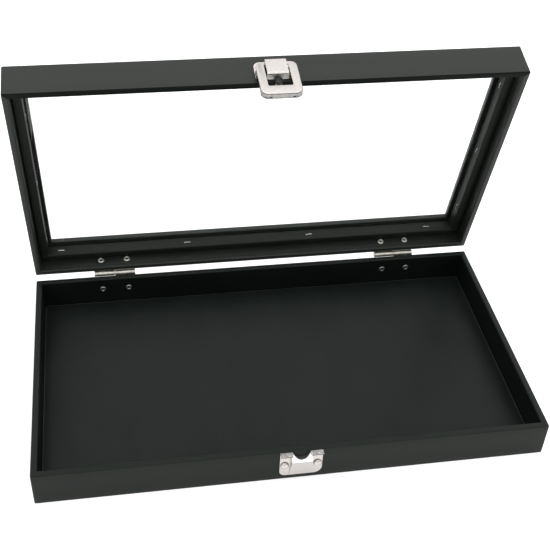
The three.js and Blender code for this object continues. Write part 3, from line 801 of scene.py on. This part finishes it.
def leaf(reach):
    """A hinge leaf hanging from the axis at the origin, its knuckle on the +X half."""
    path = [(LEAF_FLAT_Y, LEAF_FLAT_TOP)]
    for k in range(1, NECK_ROWS):
        t = k / NECK_ROWS
        ease = t * t * (3 - 2 * t)
        path.append((LEAF_FLAT_Y + (-EYE_RADIUS - LEAF_FLAT_Y) * ease, LEAF_FLAT_TOP * (1 - t)))
    for k in range(EYE_STEPS + 1):
        a = math.radians(180 - EYE_CURL * k / EYE_STEPS)
        path.append((EYE_RADIUS * math.cos(a), EYE_RADIUS * math.sin(a)))
    left = [-LEAF_HALF, -LEAF_HALF + 0.4, -LEAF_HALF + 1.2, -LEAF_HALF + LEAF_CORNER, -11, -5]
    xs = left + [0, 0.15] + [-x for x in reversed(left)]
    front, back = [], []
    for i in range(FLAT_ROWS + len(path)):
        front.append([])
        back.append([])
        for x in xs:
            if i < FLAT_ROWS:
                over = max(0.0, abs(x) - (LEAF_HALF - LEAF_CORNER))
                start = -reach + LEAF_CORNER - math.sqrt(max(0.0, LEAF_CORNER * LEAF_CORNER - over * over))
                y, z = LEAF_FLAT_Y, start + (LEAF_FLAT_TOP - start) * i / FLAT_ROWS
                ahead = Vector((0, 1))
            else:
                k = i - FLAT_ROWS
                y, z = path[k]
                before, after = path[max(k - 1, 0)], path[min(k + 1, len(path) - 1)]
                ahead = (Vector(after) - Vector(before)).normalized() if k else Vector((0, 1))
            side = Vector((-ahead.y, ahead.x)) * HINGE_SHEET / 2
            front[-1].append((x, y + side.x, z + side.y))
            back[-1].append((x, y - side.x, z - side.y))
    return thicken(front, back, lambda i, j: i < FLAT_ROWS or xs[j] >= 0.1)


pin_end = [(0, 17.2), (0.8, 17.15), (1.15, 16.9), (1.25, 16.6)]
pin_profile = [(radius, -along) for radius, along in pin_end] + pin_end[::-1]
for hand, sign in HANDS.items():
    at = shift(sign * HINGE_X, HINGE_Y, HINGE_Z)
    turned = LID @ at @ Matrix.Rotation(math.pi, 4, "Y")
    for body, reach, place in (("base", BASE_LEAF, at), ("lid", LID_LEAF, turned)):
        made = piece(f"leaf_{hand}_{body}", mesh_of("leaf", [leaf(reach)], place), STEEL, body,
                     [f"hinge_{hand}_{body}_leaf"], smooth=50)
        bevel(made, width=0.16, segments=2, angle=50)
    piece(f"pin_{hand}", mesh_of("pin", [lathe(pin_profile, segments=20)], at @ turn_z(90)), STEEL, "base",
          [f"hinge_{hand}_pin"], smooth=50)


# ---- Keeper ----

KEEPER_BOTTOM, KEEPER_TOP = 5.3, 28.8
LEDGE_BOTTOM, LEDGE_FRONT, LEDGE_INNER = 28.2, -4.5, 6.8
NOTCH_Z, NOTCH_RADIUS = 31.0, 7.0
CUT_FRONT, CUT_BACK = -9, 1


def outline_xz(x0, x1, z0, z1, radii, segments=6):
    """A rectangle in X and Z with a radius for each corner, anticlockwise from the low corner."""
    places = [(x0, z0), (x1, z0), (x1, z1), (x0, z1)]
    return fillet([(a, b, r) for (a, b), r in zip(places, radii)], segments)


def sheet(name, outline):
    """The latch's sheet metal in an outline."""
    return plain(name, prism(outline, LATCH_SHEET_FRONT, LATCH_SHEET_BACK))


def ledge(x0, x1):
    """A part of the keeper's top that is bent forwards."""
    return plain("ledge", box(x0, x1, LEDGE_FRONT, LATCH_SHEET_BACK, LEDGE_BOTTOM, KEEPER_TOP))


boss_corners = [
    (-8.7, -0.6, 5.6), (8.7, -0.6, 5.6), (7.4, -0.6, 26.6), (-7.4, -0.6, 26.6),
    (-8.7, -1.05, 5.6), (8.7, -1.05, 5.6), (7.4, -1.4, 26.6), (-7.4, -1.4, 26.6),
    (-7.4, -5.2, 22.5), (7.4, -5.2, 22.5), (-7.5, -4.85, 21.8), (7.5, -4.85, 21.8),
]
boss_faces = [(0, 1, 2, 3), (0, 4, 5, 1), (4, 10, 11, 5), (10, 8, 9, 11), (8, 7, 6, 9), (3, 2, 6, 7),
              (0, 3, 7, 8, 10, 4), (1, 5, 11, 9, 6, 2)]
notch = ellipse(0, NOTCH_Z, NOTCH_RADIUS, NOTCH_RADIUS, 64)
keeper_outline = outline_xz(-LATCH_HALF, LATCH_HALF, KEEPER_BOTTOM, KEEPER_TOP, [4.5, 6, 0.01, 0.01])
keeper_mesh = combine("keeper", sheet("sheet", keeper_outline), [
    ("UNION", ledge(LEDGE_INNER, LATCH_HALF)),
    ("UNION", ledge(-LATCH_HALF, -LEDGE_INNER)),
    ("UNION", plain("boss", (boss_corners, boss_faces))),
    ("DIFFERENCE", plain("notch", prism(notch, CUT_FRONT, CUT_BACK))),
], LATCH)
keeper = piece("latch_keeper_plate", keeper_mesh, NICKEL, "base", ["latch_keeper"],
               smooth=35, extra=[NICKEL_PAINTED_HIGHLIGHT, PAINTED_SHADE_LINE])


def on_boss_fold(centre, normal):
    """The narrow face under the boss's edge, painted dark as shade."""
    return -5.2 < centre.y < -4.85 and 21.8 < centre.z < 22.45 and abs(normal.x) < 0.3


paint(keeper, LATCH,
      # upward faces: painted highlight
      (NICKEL_PAINTED_HIGHLIGHT, lambda c, normal: normal.z > 0.3 and c.y < LATCH_SHEET_FRONT),
      # the ledge's front face and the fold under the boss: painted shade
      (PAINTED_SHADE_LINE, lambda c, normal: c.y < LEDGE_FRONT + 0.1 and c.z > LEDGE_BOTTOM - 0.1),
      (PAINTED_SHADE_LINE, on_boss_fold))


# ---- Latch plate and tongue ----

TONGUE_HALF, TONGUE_TOP = 7.6, 20.5
PLATE_BOTTOM, PLATE_TOP = 3.4, 20.0
TAB_HALF, TAB_BOTTOM, TAB_TOP = 2.6, -3.1, 2.5

tongue_section = fillet([
    (-0.2, 2.5, 0.1), (-1.0, 2.5, 0.2), (-5.6, 3.4, 0.5), (-6.2, 4.6, 0.45),
    (-4.8, 19.0, 1.9), (-3.0, TONGUE_TOP, 1.5), (-0.2, TONGUE_TOP, 0.1),
], 5)
tongue_hollow = fillet([
    (-1.0, 3.9, 0.1), (-4.9, 4.7, 0.3), (-5.3, 5.4, 0.3), (-4.3, 18.2, 1.0), (-2.8, 19.7, 0.6),
    (-1.0, 19.7, 0.1),
], 3)
tongue_front = outline_xz(-TONGUE_HALF, TONGUE_HALF, -10, TONGUE_TOP, [0.1, 0.1, 2.8, 2.8], 8)
tongue_mesh = combine("tongue", plain("tongue", prism(tongue_section, -TONGUE_HALF, TONGUE_HALF, "yz")), [
    ("INTERSECT", plain("front", prism(tongue_front, CUT_FRONT, CUT_BACK))),
    ("DIFFERENCE", plain("hollow", prism(tongue_hollow, -9, 9, "yz"))),
    ("DIFFERENCE", plain("seam", box(-7.0, 7.0, -5.3, -4.9, 2.2, 4.0))),
], CASE)
plate_outline = outline_xz(-LATCH_HALF, LATCH_HALF, PLATE_BOTTOM, PLATE_TOP, [1.2, 1.2, 4.5, 4.5])
tab_outline = outline_xz(-TAB_HALF, TAB_HALF, TAB_BOTTOM, TAB_TOP, [2.2, 2.2, 0.1, 0.1])
plate_mesh = combine("plate", sheet("sheet", plate_outline), [
    ("UNION", tongue_mesh),
    ("UNION", sheet("tab", tab_outline)),
], PLATE)
plate = piece("latch_tongue", plate_mesh, NICKEL, "lid", ["latch_plate"], smooth=35,
              extra=[NICKEL_SANDY_PAINTED_SHADE, DARK_NICKEL_AND_PAINTED_SHADE])


def in_seam(centre, normal):
    """The seam across the tongue's lower end, its inside painted dark as shade."""
    return -5.35 < centre.y < -4.85 and 3.35 < centre.z < 4.2


def under_tongue(centre, normal):
    """The tongue's underside: a sandy plating, its colour darkened further as painted shade."""
    return -5.4 < centre.y < -1.4 and centre.z < 3.6 and abs(centre.x) < 7.5


# The seam's inside and the tongue's sandy underside are painted darker as shade.
paint(plate, PLATE, (DARK_NICKEL_AND_PAINTED_SHADE, in_seam), (NICKEL_SANDY_PAINTED_SHADE, under_tongue))
bevel(plate, width=0.2, segments=3, angle=35)


def stop_profile(radius=3.7, brim=1.1, dome=1.8):
    """A shank and a low domed button. The button looks towards +Y."""
    shank = [(0, -1.0), (1.2, -1.0), (1.2, 0.9), (radius - 0.2, 0.9), (radius, brim)]
    turns = [math.radians(a) for a in range(12, 90, 9)]
    return shank + [(radius * math.cos(a), brim + dome * math.sin(a)) for a in turns] + [(0, brim + dome)]


stop_place = LID @ shift(LATCH_X, LATCH_RIVET_SEAT, LID_RIM - 0.8) @ turn_x(180)
stop_mesh = mesh_of("stop", [lathe(stop_profile(), segments=36)], stop_place)
# The stop is dark in its own colour and also painted darker as shade under the ring.
piece("stop", stop_mesh, DARK_NICKEL_AND_PAINTED_SHADE, "lid", ["latch_stop"], smooth=50)


# ---- Ring ----

# The ring hangs from its bar at the origin. Measured down from the bar: the arms' round ears end at
# EAR_END, the window at WINDOW_END and the ring at RING_END.
EAR_RADIUS, EAR_END = 5.0, 4.1
WINDOW_HALF, WINDOW_END, WINDOW_CORNER = 8.7, 25.5, 1.2
RING_HALF, RING_END, RING_CORNER = 14.8, 34.4, 5.5
RING_SHEET = 0.9
SKIRT_LEAST, SKIRT_MORE = 1.15, 3.55
SKIRT_START, SKIRT_LENGTH = 16, 14
BAR_RADIUS, BAR_HALF = 0.95, 10.4
SLOT_X, SLOT_Y = 8.2, 2.35


def ring_stations():
    """Pairs of points, on the window's edge and on the outer edge, from one end round to the other."""
    inner_x, inner_z = WINDOW_HALF - WINDOW_CORNER, WINDOW_END - WINDOW_CORNER
    outer_x, outer_z = RING_HALF - RING_CORNER, RING_END - RING_CORNER
    left = []
    for k in range(7):
        over = EAR_RADIUS * (1 - k / 6)
        ear = RING_HALF - EAR_RADIUS + math.sqrt(EAR_RADIUS ** 2 - over * over)
        left.append(((-WINDOW_HALF, EAR_END - over), (-ear, EAR_END - over)))
    for k in range(1, 13):
        t = k / 13
        left.append(((-WINDOW_HALF, EAR_END + (inner_z - EAR_END) * t),
                     (-RING_HALF, EAR_END + (outer_z - EAR_END) * t)))
    for k in range(9):
        a = math.radians(90 * k / 8)
        left.append(((-inner_x - WINDOW_CORNER * math.cos(a), inner_z + WINDOW_CORNER * math.sin(a)),
                     (-outer_x - RING_CORNER * math.cos(a), outer_z + RING_CORNER * math.sin(a))))
    for k in range(1, 6):
        t = k / 6
        left.append(((-inner_x * (1 - t), WINDOW_END), (-outer_x * (1 - t), RING_END)))
    right = [((-i[0], i[1]), (-o[0], o[1])) for i, o in reversed(left)]
    return left + [((0, WINDOW_END), (0, RING_END))] + right


def ring_shell():
    """The pressed ring: a flat face with a skirt that deepens towards the end away from the bar."""
    rings = []
    for inner, outer in ring_stations():
        start, across = Vector(inner), Vector(outer) - Vector(inner)
        width = across.length
        across.normalize()
        deep = SKIRT_LEAST + SKIRT_MORE * min(1.0, max(0.0, (outer[1] - SKIRT_START) / SKIRT_LENGTH))
        section = fillet([
            (0, 1.0, 0.35),
            (width, 1.0, 1.0),
            (width, 1.0 - deep, 0.2),
            (width - RING_SHEET, 1.0 - deep, 0.2),
            (width - RING_SHEET, 1.0 - RING_SHEET, 0.25),
            (0, 1.0 - RING_SHEET, 0.25),
        ], 4)
        ring = []
        for u, n in section:
            at = start + across * u
            ring.append((at.x, -n, -at.y))
        rings.append(ring)
    return loft(rings, caps=True)


def bar():
    """The bar that the ring turns on, along X."""
    profile = [(0, -BAR_HALF), (BAR_RADIUS, -BAR_HALF), (BAR_RADIUS, BAR_HALF), (0, BAR_HALF)]
    vertices, faces = lathe(profile, segments=20)
    return [(y, x, z) for x, y, z in vertices], faces


def slot_hole(x):
    """A short oval slot up into the ring's end."""
    return plain("hole", prism(ellipse(x, SLOT_Y, 1.05, 0.55, 24), -36, -33.9, "xy"))


ring_mesh = combine("ring", plain("ring", ring_shell()), [
    ("UNION", plain("bar", bar())),
    ("DIFFERENCE", slot_hole(-SLOT_X)),
    ("DIFFERENCE", slot_hole(SLOT_X)),
], RING)
ring = piece("latch_ring_shell", ring_mesh, NICKEL, "latch_ring", ["latch_ring"], smooth=45,
             extra=[DARK_NICKEL_AND_PAINTED_SHADE, PAINTED_SHADE_LINE, NICKEL_SHADED])


def in_slot(centre, normal):
    """The inside of the two slots in the ring's end, painted dark as shade."""
    return abs(abs(centre.x) - SLOT_X) < 1.2 and -34.25 < centre.z < -33.85 and 1.7 < centre.y < 3.0


def on_end_fold(centre, normal):
    """The fold from the ring's face into its skirt, at the end away from the bar, where a dark reflection
    is painted.
    """
    return centre.z < -27 and -0.42 < centre.y < 0.0


def on_skirt(centre, normal):
    """The ring's skirt at the end and along the arms."""
    return centre.y > 0.0 and (centre.z < -33.0 or abs(centre.x) > 12.0)


# The slots are painted dark as shade, the end fold gets a painted dark reflection and the skirt a painted
# shade.
paint(ring, RING, (DARK_NICKEL_AND_PAINTED_SHADE, in_slot), (PAINTED_SHADE_LINE, on_end_fold), (NICKEL_SHADED, on_skirt))


# ---- Frame nodes that are kept ----

KEPT = {
    "base_underside_cover": UNDERSIDE,
    "base_floor_board": RAW_BOARD,
    "glass_pane": GLASS,
    "latch_spring": SPRING_STEEL,
}
for name, material in KEPT.items():
    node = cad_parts[name]
    if not node.material_slots:
        node.data.materials.append(material)
    for socket in node.material_slots:
        socket.material = material
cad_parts["glass_pane"].visible_shadow = False


# ---- Floor, light and camera ----

STAGE_HALF, STAGE_BOTTOM, STAGE_TOP = 30000, -12, -0.05
HORIZON, ZENITH = 0.55, 1.9
AZIMUTH, ELEVATION, ROLL = -10.98, 39.62, 2.96
SENSOR, LENS = 36, 65.63782
AIM, DISTANCE = Vector((-0.0041, 0, 0.10515)), 0.7406  # metres


def stage_floor():
    """A pale floor that glows a little, as a lit sweep of paper does."""
    n = Nodes("pale_floor")
    n.colour(n.mix(n.noise(6, 3.0), (0.90, 0.90, 0.895), (0.93, 0.93, 0.93)))
    n.put(Roughness=0.75, Specular_IOR_Level=0.2)
    n.put(Emission_Color=(1.0, 1.0, 1.0, 1.0), Emission_Strength=0.35)
    ground = box(-STAGE_HALF, STAGE_HALF, -STAGE_HALF, STAGE_HALF, STAGE_BOTTOM, STAGE_TOP)
    mesh = mesh_of("stage_floor", [ground])
    obj = bpy.data.objects.new("stage_floor", mesh)
    bpy.context.scene.collection.objects.link(obj)
    mesh.materials.append(n.material)


def world_light():
    """A white room without a lamp, darkest from the horizon down and brightest overhead."""
    world = bpy.data.worlds.new("soft_room")
    bpy.context.scene.world = world
    world.use_nodes = True
    tree = world.node_tree
    tree.nodes.clear()
    where = tree.nodes.new("ShaderNodeTexCoord")
    split = tree.nodes.new("ShaderNodeSeparateXYZ")
    ramp = tree.nodes.new("ShaderNodeValToRGB")
    for element, brightness in zip(ramp.color_ramp.elements, (HORIZON, ZENITH)):
        element.color = (brightness, brightness, brightness, 1)
    shade = tree.nodes.new("ShaderNodeBackground")
    out = tree.nodes.new("ShaderNodeOutputWorld")
    tree.links.new(where.outputs["Generated"], split.inputs[0])
    tree.links.new(split.outputs["Z"], ramp.inputs["Fac"])
    tree.links.new(ramp.outputs["Color"], shade.inputs["Color"])
    tree.links.new(shade.outputs[0], out.inputs["Surface"])


def photo_camera():
    """The camera as it was solved from the corners of the case."""
    azimuth, elevation, roll = (math.radians(a) for a in (AZIMUTH, ELEVATION, ROLL))
    back = Vector((math.sin(azimuth) * math.cos(elevation), -math.cos(azimuth) * math.cos(elevation),
                   math.sin(elevation)))
    level = (-back).cross(Vector((0, 0, 1))).normalized()
    upright = level.cross(-back)
    right = level * math.cos(roll) + upright * math.sin(roll)
    up = upright * math.cos(roll) - level * math.sin(roll)
    data = bpy.data.cameras.new("camera")
    data.sensor_width = SENSOR
    data.lens = LENS
    data.clip_end = 20
    obj = bpy.data.objects.new("camera", data)
    turned = Matrix((right, up, back)).transposed().to_4x4()
    obj.matrix_world = Matrix.Translation(AIM + back * DISTANCE) @ turned
    bpy.context.scene.collection.objects.link(obj)
    bpy.context.scene.camera = obj


stage_floor()
world_light()
photo_camera()
bpy.context.scene.view_settings.view_transform = "Standard"
